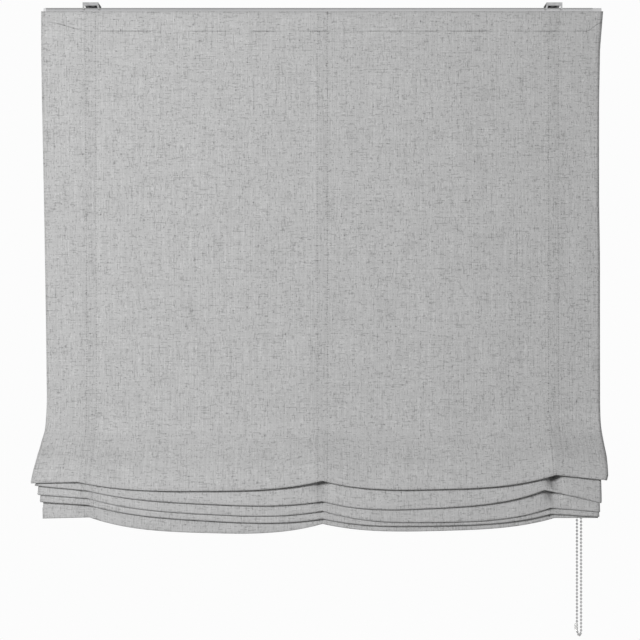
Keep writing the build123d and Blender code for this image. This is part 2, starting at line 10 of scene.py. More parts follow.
import bmesh
import bpy
import numpy as np
from mathutils import Matrix, Vector, noise


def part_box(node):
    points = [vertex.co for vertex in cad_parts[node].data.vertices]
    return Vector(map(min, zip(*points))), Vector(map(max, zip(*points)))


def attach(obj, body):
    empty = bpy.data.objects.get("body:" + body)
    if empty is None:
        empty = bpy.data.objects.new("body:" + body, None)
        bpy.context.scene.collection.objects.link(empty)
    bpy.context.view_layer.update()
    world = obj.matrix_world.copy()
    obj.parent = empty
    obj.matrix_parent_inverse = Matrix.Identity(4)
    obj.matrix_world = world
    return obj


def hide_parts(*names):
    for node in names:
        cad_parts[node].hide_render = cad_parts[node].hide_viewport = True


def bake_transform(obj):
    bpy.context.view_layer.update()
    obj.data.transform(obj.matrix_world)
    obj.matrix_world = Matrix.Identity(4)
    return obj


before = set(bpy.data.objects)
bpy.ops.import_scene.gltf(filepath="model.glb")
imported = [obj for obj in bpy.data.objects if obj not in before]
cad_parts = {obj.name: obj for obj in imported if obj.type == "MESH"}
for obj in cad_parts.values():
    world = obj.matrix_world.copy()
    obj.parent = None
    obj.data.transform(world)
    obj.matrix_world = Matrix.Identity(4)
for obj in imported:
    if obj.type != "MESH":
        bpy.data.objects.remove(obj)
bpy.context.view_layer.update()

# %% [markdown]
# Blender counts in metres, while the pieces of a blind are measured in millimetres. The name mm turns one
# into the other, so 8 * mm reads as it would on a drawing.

mm = 0.001

# %% [markdown]
# ## Places
# On the real blind the cloth hangs in front of the rail, the cords come down behind it, and the chain
# hangs from its wheel at the right. Their places could be typed in, but then they would stay behind
# when the model changes. So each one is read from the box round a packed node.

# %% Places taken from the packed nodes
cloth_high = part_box("blind_cloth")[1]
rail_low, rail_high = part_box("headrail")
stack_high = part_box("ring_stack_centre")[1]
tape_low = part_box("lift_tape_centre")[0]
shaft_low, shaft_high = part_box("shaft")
half_width = cloth_high.x
cloth_top = cloth_high.z
shaft_y = (shaft_low.y + shaft_high.y) / 2
shaft_z = (shaft_low.z + shaft_high.z) / 2
tape_xs = {}
for side in ("left", "centre", "right"):
    left_corner, right_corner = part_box(f"lift_tape_{side}")
    tape_xs[side] = (left_corner.x + right_corner.x) / 2
ring_thickness = 2.0 * mm
crest_radius = 1.4 * mm
cloth_before_tape = 0.5 * mm
stack_z = stack_high.z - ring_thickness / 2 + crest_radius
cloth_y = tape_low.y - cloth_before_tape
print("cloth plane", round(cloth_y / mm, 2), "stack height", round(stack_z / mm, 2))

# %% [markdown]
# ## Mesh helpers
# A sheet, a ribbon and a cord are all thin and long, and each could be cut and pulled from one of
# Blender's ready shapes. A grid of points is simpler: it becomes a mesh by joining each point to its
# neighbours, and every later cell is only about where the points lie. The second coordinate set holds
# the place on the flat cloth, in metres, for the weave.

# %% A grid of points becomes a mesh
def grid_mesh(name, points, flat=None, wrap=False):
    """points is an array of rows x columns x 3. wrap joins the last column to the first, as in a tube."""
    rows, columns = points.shape[:2]
    mesh = bpy.data.meshes.new(name)
    faces = []
    for row in range(rows - 1):
        for column in range(columns if wrap else columns - 1):
            across = (column + 1) % columns
            here = row * columns
            faces.append((here + column, here + across, here + columns + across, here + columns + column))
    mesh.from_pydata(points.reshape(-1, 3).tolist(), [], faces)
    if flat is not None:
        layer = mesh.uv_layers.new(name="cloth_flat")
        corners = np.empty(len(mesh.loops), dtype=np.int32)
        mesh.loops.foreach_get("vertex_index", corners)
        layer.data.foreach_set("uv", flat.reshape(-1, 2)[corners].astype(np.float32).ravel())
    mesh.polygons.foreach_set("use_smooth", [True] * len(mesh.polygons))
    mesh.update()
    return mesh


trial = grid_mesh("trial", np.zeros((3, 4, 3)))
print("a grid of 3 x 4 points has", len(trial.polygons), "faces")
bpy.data.meshes.remove(trial)

# %% [markdown]
# A mesh is only a shape. An object puts it in the scene and carries its material. Modifiers such as a
# thickness stay live until they are applied, and the finished blind needs plain meshes, so the second
# helper freezes them.

# %% Put a piece in the scene, and freeze its modifiers
def place(name, mesh, material):
    """Put a mesh in the scene with its one material."""
    piece = bpy.data.objects.new(name, mesh)
    bpy.context.scene.collection.objects.link(piece)
    mesh.materials.clear()
    mesh.materials.append(material)
    return piece


def apply_modifiers(piece):
    """Freeze a piece's modifiers into its mesh."""
    graph = bpy.context.evaluated_depsgraph_get()
    done = bpy.data.meshes.new_from_object(piece.evaluated_get(graph))
    piece.modifiers.clear()
    piece.data = done


# %% [markdown]
# ## Finishes
# Each finish is a Principled shader with a little of what the real surface shows: drawing lines along
# an extrusion, the blotches of zinc, the fine skin of moulded plastic, the weave of cloth. Nodes could
# be placed and linked one by one in the shader editor. The small helpers below add a node and link it
# in one go, which keeps each recipe to a few readable lines.

# %% A material and its sockets
class Sockets:
    """One material, with short ways to set and link its sockets and to read a place on the piece."""

    def __init__(self, name, colour, roughness, metallic=0.0):
        self.material = bpy.data.materials.new(name)
        self.material.use_nodes = True
        self.tree = self.material.node_tree
        self.shader = self.tree.nodes["Principled BSDF"]
        self.shader.inputs["Base Color"].default_value = (*colour, 1)
        self.shader.inputs["Roughness"].default_value = roughness
        self.shader.inputs["Metallic"].default_value = metallic
        self.material.diffuse_color = (*colour, 1)
        self.colour = colour

    def feed(self, value, socket):
        """Link an output, or set a plain number or triple, on a socket."""
        if isinstance(value, bpy.types.NodeSocket):
            self.tree.links.new(value, socket)
        else:
            socket.default_value = value

    def set(self, **values):
        """Plain numbers on the shader's own sockets, written with _ for a space."""
        for name, value in values.items():
            self.shader.inputs[name.replace("_", " ")].default_value = value

    def where(self, scale=(1, 1, 1), flat=False):
        """The place on the piece, or on the flat cloth, stretched by scale."""
        if flat:
            source = self.tree.nodes.new("ShaderNodeUVMap")
            source.uv_map = "cloth_flat"
            place_of = source.outputs["UV"]
        else:
            place_of = self.tree.nodes.new("ShaderNodeTexCoord").outputs["Object"]
        mapping = self.tree.nodes.new("ShaderNodeMapping")
        mapping.inputs["Scale"].default_value = scale
        self.tree.links.new(place_of, mapping.inputs["Vector"])
        return mapping.outputs["Vector"]

    def split(self, vector):
        """The X, Y and Z of a place."""
        node = self.tree.nodes.new("ShaderNodeSeparateXYZ")
        self.tree.links.new(vector, node.inputs[0])
        return node.outputs

    def join(self, x, y, z=0.0):
        """A place from its X, Y and Z."""
        node = self.tree.nodes.new("ShaderNodeCombineXYZ")
        for value, socket in zip((x, y, z), node.inputs):
            self.feed(value, socket)
        return node.outputs[0]


print("socket helpers", [name for name in vars(Sockets) if not name.startswith("_")])

# %% [markdown]
# Every pattern on the blind is built from a few simple ones: noise for what is uneven, waves for what
# is even, and a smooth step that keeps only part of either. Blender's ready textures for brick or wood
# save work on a wall or a table, but none of them draws threads, so these are added and multiplied.

# %% Patterns
class Patterns(Sockets):
    """Sums, waves, noise and steps."""

    def sum(self, first, second, kind="ADD"):
        """Two values added, or joined by another kind of sum."""
        node = self.tree.nodes.new("ShaderNodeMath")
        node.operation = kind
        self.feed(first, node.inputs[0])
        self.feed(second, node.inputs[1])
        return node.outputs[0]

    def times(self, first, second):
        """Two values multiplied."""
        return self.sum(first, second, "MULTIPLY")

    def less(self, first, second):
        """The second value taken from the first."""
        return self.sum(first, second, "SUBTRACT")

    def wave(self, coordinate, pitch):
        """An even wave along a coordinate, from -1 to 1 and back once in each pitch."""
        return self.sum(self.times(coordinate, 2 * math.pi / pitch), 0.0, "SINE")

    def noise(self, vector, detail=2.0, rough=0.5, flat=False):
        """Soft random clouds at a place, with finer clouds inside them by detail."""
        node = self.tree.nodes.new("ShaderNodeTexNoise")
        node.noise_dimensions = "2D" if flat else "3D"
        node.inputs["Scale"].default_value = 1.0
        node.inputs["Detail"].default_value = detail
        node.inputs["Roughness"].default_value = rough
        self.tree.links.new(vector, node.inputs["Vector"])
        return node.outputs["Fac"]

    def cloth_noise(self, across, down, detail, rough=0.5):
        """Noise on the flat cloth, by how many clouds there are in a metre across and down."""
        return self.noise(self.where((across, down, 1), flat=True), detail, rough, flat=True)

    def step(self, value, low, high, to_low=0.0, to_high=1.0):
        """A smooth step from one value to another."""
        node = self.tree.nodes.new("ShaderNodeMapRange")
        node.interpolation_type = "SMOOTHSTEP"
        self.tree.links.new(value, node.inputs["Value"])
        for name, number in (("From Min", low), ("From Max", high), ("To Min", to_low), ("To Max", to_high)):
            node.inputs[name].default_value = number
        return node.outputs["Result"]

    def spread(self, clouds, to_low, to_high, calm=0.3, busy=0.7):
        """Noise lies mostly between calm and busy. This spreads it over the range that is wanted."""
        return self.step(clouds, calm, busy, to_low, to_high)


print("pattern helpers", [name for name in vars(Patterns) if not name.startswith("_")])

# %% [markdown]
# A pattern can change three things on a surface: how light its colour is, how smooth it is and how it
# stands out. On real pieces they go together, as a pit in zinc is both dull and deep, so a finish
# often feeds one pattern to all three.

# %% What a pattern changes
class Recipe(Patterns):
    """A finish: patterns fed to colour, roughness and relief."""

    def tint(self, shade):
        """Base colour times a shade that varies over the surface."""
        node = self.tree.nodes.new("ShaderNodeMix")
        node.data_type = "RGBA"
        node.blend_type = "MULTIPLY"
        node.inputs["Factor"].default_value = 1.0
        node.inputs["A"].default_value = (*self.colour, 1)
        self.tree.links.new(self.join(shade, shade, shade), node.inputs["B"])
        self.tree.links.new(node.outputs["Result"], self.shader.inputs["Base Color"])

    def polish(self, value):
        """Roughness that varies over the surface."""
        self.feed(value, self.shader.inputs["Roughness"])

    def bump(self, height, distance):
        """Small relief: distance is how much a height of 1 stands out."""
        node = self.tree.nodes.new("ShaderNodeBump")
        node.inputs["Distance"].default_value = distance
        self.tree.links.new(height, node.inputs["Height"])
        self.tree.links.new(node.outputs["Normal"], self.shader.inputs["Normal"])


print("finish helpers", [name for name in vars(Recipe) if not name.startswith("_")])

# %% [markdown]
# The rail is extruded aluminium with a satin skin, and the shaft is drawn steel. The die leaves faint
# lines along both. An image of brushed metal could be wrapped round them, but it would repeat over
# such a length. Noise stretched far along X gives lines that never repeat.

# %% Drawn metal
drawn_lines = (3.0, 2500.0, 2500.0)
drawn_stains = (12.0, 40.0, 40.0)
drawn_relief = 0.02 * mm
painted_shade_share = 0.5
painted_shade_blend = 0.3 * mm


def drawn_metal(name, colour, roughness, painted_shade_above=None):
    """Aluminium or steel drawn along X. The part above a height may be painted darker, as painted shade along
    a top edge.
    """
    recipe = Recipe(name, colour, roughness, metallic=1.0)
    lines = recipe.noise(recipe.where(drawn_lines), detail=3.0)
    stains = recipe.noise(recipe.where(drawn_stains), detail=2.0)
    shade = recipe.sum(recipe.spread(lines, 0.93, 1.0), recipe.spread(stains, -0.04, 0.02))
    # Painted shade: above the given height the colour is darkened, and the roughness stays as it is.
    if painted_shade_above is not None:
        height = recipe.split(recipe.where())[2]
        shade = recipe.times(shade, recipe.step(height, painted_shade_above, painted_shade_above + painted_shade_blend, 1.0, painted_shade_share))
    recipe.tint(shade)
    recipe.polish(recipe.spread(lines, roughness + 0.08, roughness - 0.05))
    recipe.bump(lines, drawn_relief)
    return recipe.material


# The rail's top 1.2 mm gets painted shade along its edge.
rail_edge_shade = 1.2 * mm
rail_finish = drawn_metal("anodised_aluminium", (0.58, 0.58, 0.585), 0.38, rail_high.z - rail_edge_shade)
shaft_finish = drawn_metal("drawn_steel", (0.56, 0.56, 0.57), 0.3)
print("drawn metals", rail_finish.name, shaft_finish.name)

# %% [markdown]
# The brackets are pressed from steel sheet with a bright zinc coat, which dries in soft blotches and
# has fine pits. The springs and the nickel on the balls are plated too, only darker or smoother, so
# one recipe with another colour and roughness serves all three.

# %% Plated metal
plate_blotches = (160.0, 160.0, 160.0)
plate_pits = (3000.0, 3000.0, 3000.0)
pit_share = 0.3
plate_relief = 0.03 * mm


def zinc_plate(name, colour, roughness):
    """Plated metal: soft blotches and fine pits."""
    recipe = Recipe(name, colour, roughness, metallic=1.0)
    blotches = recipe.noise(recipe.where(plate_blotches), detail=4.0)
    pits = recipe.noise(recipe.where(plate_pits), detail=1.0)
    recipe.tint(recipe.spread(blotches, 0.82, 1.0))
    recipe.polish(recipe.spread(blotches, roughness + 0.12, roughness - 0.06))
    recipe.bump(recipe.sum(blotches, recipe.times(pits, pit_share)), plate_relief)
    return recipe.material


bracket_finish = zinc_plate("zinc_plated_steel", (0.52, 0.52, 0.525), 0.34)
spring_finish = zinc_plate("spring_steel", (0.26, 0.26, 0.27), 0.34)
bead_finish = zinc_plate("nickel_plated_beads", (0.5, 0.5, 0.5), 0.16)
print("plated metals", bracket_finish.name, spring_finish.name, bead_finish.name)

# %% [markdown]
# Moulded plastic is even in colour, with a fine skin from the tool and a few faint flow clouds. The
# rings, cord stops and the chain's clip are a milky see-through grade. Glass would be too clear for
# them, so only a share of the light passes through, and the rest comes back from the surface.

# %% Plastics
flow_clouds = (60.0, 60.0, 60.0)
tool_skin = (2600.0, 2600.0, 2600.0)
skin_relief = 0.02 * mm
plastic_ior = 1.49


def moulded(name, colour, roughness, clear=0.0):
    """Moulded plastic. clear is the share of light that passes through."""
    recipe = Recipe(name, colour, roughness)
    clouds = recipe.noise(recipe.where(flow_clouds), detail=2.0)
    skin = recipe.noise(recipe.where(tool_skin), detail=2.0)
    recipe.tint(recipe.spread(clouds, 0.96, 1.0))
    recipe.polish(recipe.spread(skin, roughness - 0.04, roughness + 0.06, calm=0.35, busy=0.65))
    recipe.bump(skin, skin_relief)
    if clear:
        recipe.set(Transmission_Weight=clear, IOR=plastic_ior)
    return recipe.material


end_finish = moulded("pale_grey_plastic", (0.62, 0.62, 0.625), 0.42)
white_finish = moulded("white_plastic", (0.82, 0.82, 0.81), 0.38)
clear_finish = moulded("milky_plastic", (0.86, 0.86, 0.85), 0.2, clear=0.45)
print("plastics", end_finish.name, white_finish.name, clear_finish.name)

# %% [markdown]
# ## Linen
# The linen is the finish that matters most. Its weave is plain, with thick places in single threads
# that show as short dark dashes, along the weft and along the warp. An image of cloth would blur close
# up and repeat from afar, and plain noise gives round spots. Each dash must be one thread high and lie
# on its thread, so the recipe numbers the threads, gives each its own slice of noise, and keeps only
# the peaks.

# %% Thick places in the threads
slice_step = 7.31


def slub_threads(recipe, flat, way, pitch, length, low, high, set_number):
    """Thick places in the threads that run one way: 1 on a dash, 0 off it."""
    place_of = recipe.split(flat)
    run, across = (place_of[0], place_of[1]) if way == "weft" else (place_of[1], place_of[0])
    threads = recipe.times(across, 1 / pitch)
    number = recipe.sum(threads, 0.0, "FLOOR")
    within = recipe.less(threads, number)
    slice_of = recipe.join(recipe.times(run, 1 / length), recipe.times(number, slice_step + set_number))
    thick = recipe.step(recipe.noise(slice_of, detail=1.0, flat=True), low, high)
    from_middle = recipe.sum(recipe.times(recipe.less(within, 0.5), 2.0), 0.0, "ABSOLUTE")
    rounded = recipe.less(1.0, recipe.sum(from_middle, 3.0, "POWER"))
    return recipe.times(thick, rounded)


# Each set: way, pitch of its threads, length of a dash, the noise from which a dash shows and where it
# is full, the set's number, and how much darker a dash is. The last two sets are lighter threads
thread_sets = (
    ("weft", 1.5 * mm, 15 * mm, 0.64, 0.70, 0.0, 0.24),
    ("warp", 1.5 * mm, 14 * mm, 0.64, 0.70, 4.0, 0.23),
    ("weft", 1.7 * mm, 11 * mm, 0.62, 0.70, 2.0, -0.09),
    ("warp", 1.7 * mm, 11 * mm, 0.62, 0.70, 6.0, -0.11),
)
print("sets of threads", len(thread_sets))

# %% [markdown]
# Tapes, rail and hems lie behind the cloth and hold back some of the light that comes through it, so they
# show on its front as narrow darker bands: painted shade. They could be modelled as ridges, but they stand
# out by less than a thread, and a ridge would need far more faces. A band drawn at a place along the flat
# cloth is enough, and it stays with the cloth as it folds. The stitches beside the tapes are real marks on
# the cloth.

# %% Painted shade of what lies behind the cloth, and the stitches
stitch_line = 8.6 * mm
stitch_pitch = 4.2 * mm
hem_from_side = 2.5 * mm
rail_height = cloth_top - rail_low.z
# The painted shade line of the rail's lower edge behind the cloth: from a place, to a place, and its heights
# below the top at both
left_of_edge = (-474 * mm, -394 * mm, 18 * mm, rail_height)
right_of_edge = (452 * mm, 478 * mm, 0.0, -14 * mm)


def bands_along(recipe, coordinate, places, half, soft):
    """1 inside any of several narrow bands at places along one coordinate."""
    total = 0.0
    for at in places:
        away = recipe.sum(recipe.less(coordinate, at), 0.0, "ABSOLUTE")
        total = recipe.sum(total, recipe.step(away, half, half + soft, 1.0, 0.0))
    return total


def stitches_and_painted_shade(recipe, u, v):
    """Stitches, and painted shade of the tapes, of the rail's lower edge in patches and of the side hems, at
    u across and v down the cloth.
    """
    stitch_lines = [x + way * stitch_line for x in tape_xs.values() for way in (-1, 1)]
    stitch = recipe.step(recipe.wave(v, stitch_pitch), -0.5, 0.4)
    stitches = recipe.times(bands_along(recipe, u, stitch_lines, 0.5 * mm, 0.8 * mm), stitch)
    # Painted shade: a darker band where each tape lies behind the cloth.
    tape_shade_band = bands_along(recipe, u, tape_xs.values(), stitch_line, 1.0 * mm)
    # Painted shade: a dark line where the rail's lower edge lies behind the cloth, broken into patches by
    # noise.
    edge_at = recipe.sum(recipe.step(u, *left_of_edge), recipe.step(u, *right_of_edge))
    edge = bands_along(recipe, recipe.less(v, edge_at), [0.0], 0.5 * mm, 1.1 * mm)
    shade_patches = recipe.step(recipe.cloth_noise(14.0, 3.0, detail=2.0), 0.35, 0.6)
    # Painted shade: a darker line where each side hem lies behind the cloth.
    hem_lines = [way * (half_width - hem_from_side) for way in (-1, 1)]
    hem_shade_band = bands_along(recipe, u, hem_lines, 1.0 * mm, 1.5 * mm)
    return stitches, tape_shade_band, recipe.times(edge, shade_patches), hem_shade_band


print("lower edge of the rail in mm below the top", round(rail_height / mm, 1))

# %% [markdown]
# The cloth's colour is one grey, made darker by each mark in turn and then varied a little by soft clouds, by
# the grain of the fibres, and by the tone of single threads. The marks of the tapes, the rail's lower edge
# and the hems are painted shade. The relief adds the weave itself, which is too fine to model: one wave
# across times one wave down. A little sheen stands for the fibres that stick out.

# %% The linen
weave_pitch = 0.9 * mm
weave_share = 0.35
grain_share = 0.8
stitch_sink = 1.4
weave_relief = 0.16 * mm
# How much darker each mark makes the cloth. The tape, rail-edge and hem depths are painted shade.
mark_depths = {"knots": 0.28, "stitches": 0.18, "tape_shade_band": 0.035, "rail_edge_shade": 0.32, "hem_shade_band": 0.10}


def linen(name, colour):
    """Grey linen-look cloth, with its stitches, and painted shade where the lift tapes, the rail and the hems
    lie behind it.
    """
    recipe = Recipe(name, colour, 0.92)
    flat = recipe.where(flat=True)
    u, v = recipe.split(flat)[:2]
    slubs = [slub_threads(recipe, flat, *thread_set[:-1]) for thread_set in thread_sets]
    knots = recipe.step(recipe.cloth_noise(260.0, 330.0, detail=0.0), 0.77, 0.82)
    stitches_and_shade = stitches_and_painted_shade(recipe, u, v)
    marks = [(slub, thread_set[-1]) for slub, thread_set in zip(slubs, thread_sets)]
    marks += zip((knots, *stitches_and_shade), mark_depths.values())
    shade = recipe.step(recipe.cloth_noise(24.0, 40.0, detail=2.0), 0.25, 0.75, 0.985, 1.03)
    for mark, darker in marks:
        shade = recipe.less(shade, recipe.times(mark, darker))
    grain = recipe.cloth_noise(420.0, 420.0, detail=2.0, rough=0.7)
    warp_tone = recipe.cloth_noise(560.0, 11.0, detail=1.0)
    weft_tone = recipe.cloth_noise(16.0, 560.0, detail=1.0)
    for tone, amount in ((grain, 0.025), (warp_tone, 0.06), (weft_tone, 0.04)):
        shade = recipe.sum(shade, recipe.step(tone, 0.25, 0.75, -amount, amount))
    recipe.tint(shade)
    weave = recipe.times(recipe.wave(u, weave_pitch), recipe.wave(v, weave_pitch))
    fibres = recipe.sum(recipe.times(weave, weave_share), recipe.times(grain, grain_share))
    raised = recipe.sum(recipe.sum(slubs[0], slubs[1]), fibres)
    recipe.bump(recipe.less(raised, recipe.times(stitches_and_shade[0], stitch_sink)), weave_relief)
    recipe.set(Sheen_Weight=0.12, Sheen_Roughness=0.5)
    return recipe.material


linen_finish = linen("grey_linen", (0.50, 0.50, 0.50))
print("linen nodes", len(linen_finish.node_tree.nodes))

# %% [markdown]
# The tapes, the hook strip and the cords are also woven, but plainly: even ribs across a tape, a nap
# of tiny hooks on the strip, and strands on the cord. They are narrow and mostly hidden, so one recipe
# with waves of different pitch along X, Y and Z does for all three.

# %% Tape, hook strip and cord
fuzz_scale = (1500.0, 1500.0, 1500.0)
deepest_rib = 1.6


def woven(name, colour, pitches, relief):
    """An even narrow weave, given by the pitch of its ribs along X, Y and Z. A pitch of 0 has no ribs."""
    recipe = Recipe(name, colour, 0.85)
    ribs = recipe.split(recipe.where(tuple(2 * math.pi / pitch if pitch else 0 for pitch in pitches)))
    height = 0.0
    for pitch, rib in zip(pitches, ribs):
        if pitch:
            height = recipe.sum(height, recipe.sum(rib, 0.0, "SINE"))
    fuzz = recipe.noise(recipe.where(fuzz_scale), detail=2.0)
    ribbed = recipe.step(height, -deepest_rib, deepest_rib, 0.86, 1.0)
    recipe.tint(recipe.sum(ribbed, recipe.spread(fuzz, -0.06, 0.04)))
    recipe.bump(recipe.sum(height, fuzz), relief)
    recipe.set(Sheen_Weight=0.2, Sheen_Roughness=0.4)
    return recipe.material


tape_finish = woven("woven_tape", (0.56, 0.56, 0.55), (0.8 * mm, 0, 0.5 * mm), 0.08 * mm)
strip_finish = woven("hook_and_loop", (0.74, 0.74, 0.73), (0.9 * mm, 0, 1.1 * mm), 0.2 * mm)
cord_finish = woven("braided_cord", (0.7, 0.7, 0.69), (0.7 * mm, 0.7 * mm, 0.9 * mm), 0.06 * mm)
print("woven", tape_finish.name, strip_finish.name, cord_finish.name)

# %% [markdown]
# The rigid pieces come from the packed model with their true shapes: the extruded rail, the pressed
# brackets, the moulded spools and cradles. They could be modelled a second time here, but their shape
# is already right, so each keeps its mesh and only gets its finish.

# %% Give each kept node its finish
node_finishes = {
    "headrail": rail_finish, "shaft": shaft_finish, "brake_spring": spring_finish,
    "hook_strip": strip_finish, "loop_strip": strip_finish, "end_cap_left": end_finish,
    "drive_housing": end_finish, "drive_cover": end_finish, "chain_wheel": white_finish,
    "drive_core": white_finish, "ring_row_1": clear_finish, "ring_row_2": clear_finish,
    "ring_row_3": clear_finish, "bracket_left": bracket_finish, "bracket_right": bracket_finish,
    "bracket_rivet_left": bracket_finish, "bracket_rivet_right": bracket_finish,
    "spring_catch_left": spring_finish, "spring_catch_right": spring_finish,
}
for side in tape_xs:
    node_finishes[f"spool_{side}"] = white_finish
    node_finishes[f"spool_cradle_{side}"] = white_finish
    node_finishes[f"cord_stop_{side}"] = clear_finish
    node_finishes[f"ring_stack_{side}"] = clear_finish
for node, finish in node_finishes.items():
    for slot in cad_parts[node].material_slots:
        slot.material = finish
print("finished", len(node_finishes), "rigid nodes")

# %% [markdown]
# ## The cloth
# The cords pull up the rings, and the cloth between two rings hangs down in a fold. A simulation could
# drop the cloth into folds, but not into the same ones as on the real blind. So the sheet is drawn as
# a section at each place along the blind: straight down, forward over the bulge, then in and out of
# each fold and over each crest that a ring holds. A few values give the folds at the ends and at the
# three tapes.

# %% The folds, from the front layer to the back one, all in millimetres
# Each fold: forward reach, hang below the top ring at the left end, left tape, middle tape, right
# tape and right end, and the sag in the two bays
folds = [
    (51.5, (67, 65, 63, 53, 62), (16, 19)),
    (43.5, (72, 80, 98, 79, 101), (13.5, 21)),
    (35.5, (88, 94, 115, 110, 117), (16, 21.5)),
    (28.0, (101, 106, 129, 121, 126), (15, 16)),
]
# How far beside the left and the right tape each fold has its peak
left_peak_shifts = (-12, 0, 0, 0)
right_peak_shifts = (-4, -21, -10, -8)
# The hem behind the folds, and its turned edge: how far back and how far up from its lowest line
hem_reach = 20.0
hem_hang = (130, 128, 139, 129, 129)
hem_sag = (21, 17)
hem_edge = ((0.0, 3.0), (0.6, 0.0), (1.6, 3.0), (1.7, 18.0))
# The bulge above the folds: its height, and then shares of the way down and of the way forward
bulge_height = 42.0
bulge_curve = ((0.22, 0.1), (0.45, 0.42), (0.7, 0.82))
# The flat sheet bends into the bulge over this stretch and by this much
straight_above_bulge = 60.0
sheet_lean = 0.8
print("folds", len(folds), "hem at the left end", hem_hang[0], "mm below the top ring")

# %% [markdown]
# Between two tapes the cloth sags in a round curve, and at each tape it comes to a peak. An arc would
# do for a thin cord, but cloth this stiff is flatter in the middle and steeper at the tapes, so the
# sag follows a third power. The same rule then serves every value that changes along the blind.

# %% A value that follows the tapes
def along_blind(x, values, sags, level=None):
    """Values in mm at the ends and tapes, with a sag in each bay, at an array of places x in metres."""
    left_peak, right_peak = tape_xs["left"], tape_xs["right"]
    if level is not None:
        left_peak += left_peak_shifts[level] * mm
        right_peak += right_peak_shifts[level] * mm
    places = [-half_width, left_peak, tape_xs["centre"], right_peak, half_width]
    value = np.interp(x, places, values)
    for start, end, sag in zip(places[1:3], places[2:4], sags):
        share = np.clip((x - start) / (end - start), 0, 1)
        value = value + sag * (1 - np.abs(2 * share - 1) ** 3)
    return value


trial_places = np.array([-half_width, tape_xs["left"], tape_xs["left"] / 2, tape_xs["centre"]])
print("first fold hangs", along_blind(trial_places, *folds[0][1:], 0).round(1))

# %% [markdown]
# The cloth bends sharply at the tapes and hardly at all between them. Even columns would be too coarse
# at one place or too many at the other, so they crowd together near the tapes: a running total of how
# close they should be is cut into equal parts.

# %% Columns, closer together near the tapes
columns = 197
fine_places = 4001
crowd_reach = 22 * mm
crowd_more = 1.6
fine = np.linspace(-half_width, half_width, fine_places)
closeness = 1 + crowd_more * sum(np.exp(-((fine - x) / crowd_reach) ** 2) for x in tape_xs.values())
counted = np.concatenate([[0], np.cumsum((closeness[1:] + closeness[:-1]) / 2)])
x_columns = np.interp(np.linspace(0, counted[-1], columns), counted, fine)
gaps_mm = np.diff(x_columns) / mm
print("columns", columns, "gaps in mm from", gaps_mm.min().round(2), "to", gaps_mm.max().round(2))

# %% [markdown]
# A tape pinches the cloth that it is sewn to, which leaves a small dark hollow under each fold there.
# Such a hollow could be sculpted in by hand. Here the bend between a fold and its crest is drawn back
# and down near each tape, so the hollows follow when the folds are changed.

# %% The shape of one fold, in millimetres
fold_radius = 2.2
fold_flat = 0.4 * fold_radius
crest_mm = crest_radius / mm
crest_step = 9.0
crest_sag = 12.0
crest_forward = 1.4
crest_back_step = 0.8
edge_droop = 5.0
edge_forward = 4.0
bay_forward = 3.0
shoulder_lean = 0.55
shoulder_share = 0.3
# For each tape: how far beside it the pinch lies, and how strong it is
pinches = {"left": (-8, 0.4), "centre": (0, 0.5), "right": (-5, 1.0)}
pinch_reach = 13 * mm
pinch_lean = 0.45
pinch_share = 0.3


def pinch_at(x):
    """How strongly the tapes pinch the cloth at each place x."""
    return sum(amount * np.exp(-((x - tape_xs[side] - shift * mm) / pinch_reach) ** 2)
               for side, (shift, amount) in pinches.items())


def shoulder(upper, lower, x):
    """The bend between a crest and a fold: a share of the way out and a share of the way down."""
    lean = shoulder_lean - pinch_lean * pinch_at(x)
    down = shoulder_share + pinch_share * pinch_at(x)
    return upper[0] + lean * (lower[0] - upper[0]), upper[1] + down * (lower[1] - upper[1])


print("strongest pinch", pinch_at(x_columns).max().round(2))

# %% [markdown]
# The upper part of a section is the flat sheet, which then swings forward over the folds in a bulge,
# as cloth does when its end is pushed up. Every section has the same number of points, so that
# neighbours can be joined into a sheet. The number beside each point says in how many steps the mesh
# goes on to the next one. Equal steps would be simpler, but they waste faces where the cloth is flat.

# %% The sheet and the bulge
sheet_steps = (6, 29, 4, 6)
bulge_steps = 7
sheet_y, sheet_top, top_ring = cloth_y / mm, cloth_top / mm, stack_z / mm
bulge_top = top_ring + bulge_height


def counted_points(points, steps):
    """Points with the number of steps from each to the next."""
    return [(*point[:2], count) for point, count in zip(points, steps)]


def sheet_points(x):
    """The flat sheet and the bulge, down to the first fold."""
    first_low = top_ring - along_blind(x, *folds[0][1:], 0)
    first_front = sheet_y - folds[0][0] - fold_radius
    flat = [(sheet_y, sheet_top), (sheet_y, rail_low.z / mm), (sheet_y, bulge_top + straight_above_bulge),
            (sheet_y - sheet_lean, bulge_top)]
    bulge = [(sheet_y + out * (first_front - sheet_y), bulge_top + share * (first_low - bulge_top))
             for share, out in bulge_curve]
    return counted_points(flat, sheet_steps) + counted_points(bulge, [bulge_steps] * len(bulge))


print("points above the first fold", len(sheet_points(x_columns)))

# %% [markdown]
# A fold is a narrow loop: down its front, round its bottom, up its back, and over the crest that the
# ring holds. The folds could be copies of one, moved back and down. On the real blind each is shorter
# or longer than the next, so each takes its own reach, hang and sag from the table above.

# %% One fold and its crest
shoulder_steps = 6
fold_steps = (3, 2, 3, 6)
crest_steps = (2, 2, 5)


